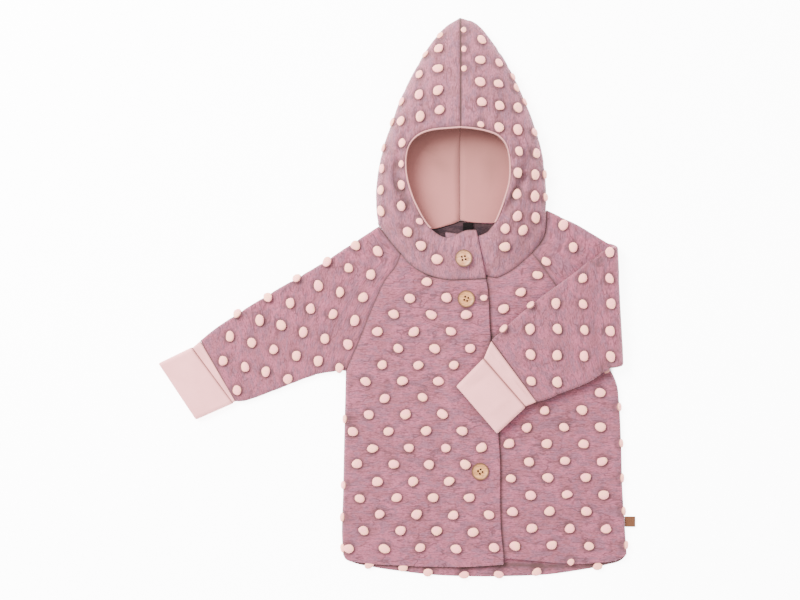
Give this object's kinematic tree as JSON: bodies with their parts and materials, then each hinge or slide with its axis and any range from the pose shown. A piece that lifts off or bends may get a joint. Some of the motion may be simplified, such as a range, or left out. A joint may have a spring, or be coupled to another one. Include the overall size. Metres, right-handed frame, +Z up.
{
  "type": "child's hooded boiled wool coat, laid flat",
  "caption": "Hooded buttoned coat of bobbled boiled wool with raglan sleeves and turned-back jersey cuffs, laid flat on its back with one sleeve folded over the chest.",
  "frame": {"origin": "middle of the coat's footprint, on the surface it lies on", "axes": "+Y from the hem to the tip of the hood, +Z up off the surface towards the coat's front, +X towards the viewer's right, which is the coat's own left"},
  "size_m": [0.5244, 0.6152, 0.0335],
  "materials": {
    "wool": "heathered dusty pink boiled wool with raised pale felt bobbles",
    "jersey": "smooth pale pink jersey",
    "lining": "smooth pale pink jersey in the hood's shade",
    "shell": "matt coconut shell",
    "tape": "black woven tape",
    "tab": "tan brown, bare"
  },
  "bodies": {
    "root": {"front_right": "wool", "front_left": "wool", "back": "wool", "sleeve_right": "wool", "sleeve_left": "wool", "hood_right": "wool", "hood_left": "wool", "hood_lining_right": "lining", "hood_lining_left": "lining", "cuff_right": "jersey", "cuff_left": "jersey", "button_top": "shell", "button_middle": "shell", "button_bottom": "shell", "neck_loop": "tape", "side_label": "tab"}
  },
  "joints": []
}
